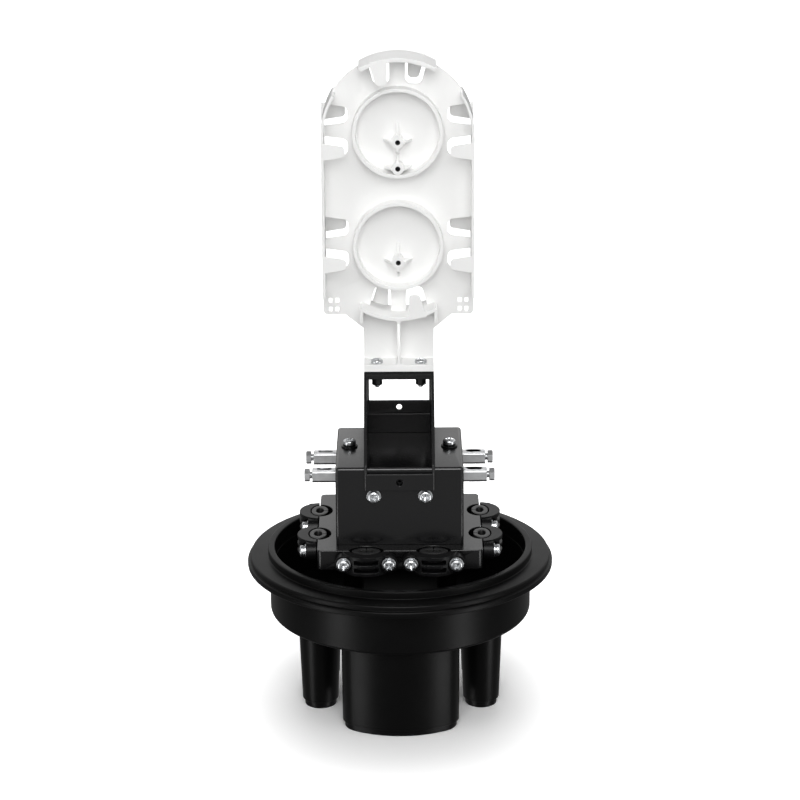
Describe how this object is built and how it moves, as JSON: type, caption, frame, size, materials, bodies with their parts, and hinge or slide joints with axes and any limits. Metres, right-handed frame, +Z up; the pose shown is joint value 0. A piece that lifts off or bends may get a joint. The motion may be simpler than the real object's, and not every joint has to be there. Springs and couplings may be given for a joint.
{
  "type": "dome splice closure base",
  "caption": "Round moulded splice closure base with tapered cable ports, bolted cable clamps, strength member lugs, a folded steel bracket and an upright two-sided fibre storage tray.",
  "frame": {"origin": "on the axis of the round base, on the floor under the port tips", "axes": "+Z up along the base's axis, -Y towards the oval port, +X to the right seen from there"},
  "size_m": [0.208, 0.208, 0.4425],
  "materials": {
    "black_polypropylene": "moulded satin",
    "black_abs": "moulded satin",
    "black_nylon": "moulded satin",
    "black_rubber": "matte",
    "black_sheet_steel": "powder coated satin",
    "white_abs": "moulded satin",
    "zinc_steel": "zinc plated",
    "nickel_brass": "nickel plated"
  },
  "bodies": {
    "closure_base": {"base_shell": "black_polypropylene", "base_flange": "black_polypropylene", "base_posts": "black_polypropylene", "oval_port": "black_polypropylene", "clamp_block": "black_abs", "block_screws": "zinc_steel", "bracket_box": "black_sheet_steel", "bond_screws": "zinc_steel", "bond_washers": "zinc_steel", "bond_nuts": "zinc_steel", "front_screws": "zinc_steel", "front_washers": "zinc_steel", "front_nuts": "zinc_steel", "riser_bracket": "black_sheet_steel", "riser_screws": "zinc_steel", "riser_nuts": "zinc_steel", "riser_pin": "zinc_steel", "rivet_nuts": "black_sheet_steel", "storage_tray": "white_abs", "tray_foot": "white_abs", "tray_bosses": "white_abs", "tray_screws": "zinc_steel", "lug_left_front": "nickel_brass", "round_port_left_front": "black_polypropylene", "lug_left_rear": "nickel_brass", "round_port_left_rear": "black_polypropylene", "lug_right_front": "nickel_brass", "round_port_right_front": "black_polypropylene", "lug_right_rear": "nickel_brass", "round_port_right_rear": "black_polypropylene"},
    "clamp_left_front": {"saddle_left_front": "black_nylon", "sleeve_left_front": "black_rubber", "clamp_screws_left_front": "zinc_steel", "clamp_washers_left_front": "zinc_steel"},
    "clamp_left_rear": {"saddle_left_rear": "black_nylon", "sleeve_left_rear": "black_rubber", "clamp_screws_left_rear": "zinc_steel", "clamp_washers_left_rear": "zinc_steel"},
    "clamp_right_front": {"saddle_right_front": "black_nylon", "sleeve_right_front": "black_rubber", "clamp_screws_right_front": "zinc_steel", "clamp_washers_right_front": "zinc_steel"},
    "clamp_right_rear": {"saddle_right_rear": "black_nylon", "sleeve_right_rear": "black_rubber", "clamp_screws_right_rear": "zinc_steel", "clamp_washers_right_rear": "zinc_steel"},
    "clamp_front_left": {"saddle_front_left": "black_nylon", "sleeve_front_left": "black_rubber", "clamp_screws_front_left": "zinc_steel", "clamp_washers_front_left": "zinc_steel"},
    "clamp_front_right": {"saddle_front_right": "black_nylon", "sleeve_front_right": "black_rubber", "clamp_screws_front_right": "zinc_steel", "clamp_washers_front_right": "zinc_steel"},
    "bolt_left_front": {"lug_bolt_left_front": "nickel_brass"},
    "bolt_left_rear": {"lug_bolt_left_rear": "nickel_brass"},
    "bolt_right_front": {"lug_bolt_right_front": "nickel_brass"},
    "bolt_right_rear": {"lug_bolt_right_rear": "nickel_brass"}
  },
  "joints": [
    {"name": "clamp_left_front_slide", "type": "slide", "parent": "closure_base", "child": "clamp_left_front", "axis": [-1, 0, 0], "range_m": [-0.0004, 0.005]},
    {"name": "clamp_left_rear_slide", "type": "slide", "parent": "closure_base", "child": "clamp_left_rear", "axis": [-1, 0, 0], "range_m": [-0.0004, 0.005]},
    {"name": "clamp_right_front_slide", "type": "slide", "parent": "closure_base", "child": "clamp_right_front", "axis": [1, 0, 0], "range_m": [-0.0004, 0.005]},
    {"name": "clamp_right_rear_slide", "type": "slide", "parent": "closure_base", "child": "clamp_right_rear", "axis": [1, 0, 0], "range_m": [-0.0004, 0.005]},
    {"name": "clamp_front_left_slide", "type": "slide", "parent": "closure_base", "child": "clamp_front_left", "axis": [0, -1, 0], "range_m": [-0.0004, 0.005]},
    {"name": "clamp_front_right_slide", "type": "slide", "parent": "closure_base", "child": "clamp_front_right", "axis": [0, -1, 0], "range_m": [-0.0004, 0.005]},
    {"name": "bolt_left_front_slide", "type": "slide", "parent": "closure_base", "child": "bolt_left_front", "axis": [-1, 0, 0], "range_m": [-0.0014, 0.004]},
    {"name": "bolt_left_rear_slide", "type": "slide", "parent": "closure_base", "child": "bolt_left_rear", "axis": [-1, 0, 0], "range_m": [-0.0014, 0.004]},
    {"name": "bolt_right_front_slide", "type": "slide", "parent": "closure_base", "child": "bolt_right_front", "axis": [1, 0, 0], "range_m": [-0.0014, 0.004]},
    {"name": "bolt_right_rear_slide", "type": "slide", "parent": "closure_base", "child": "bolt_right_rear", "axis": [1, 0, 0], "range_m": [-0.0014, 0.004]}
  ]
}
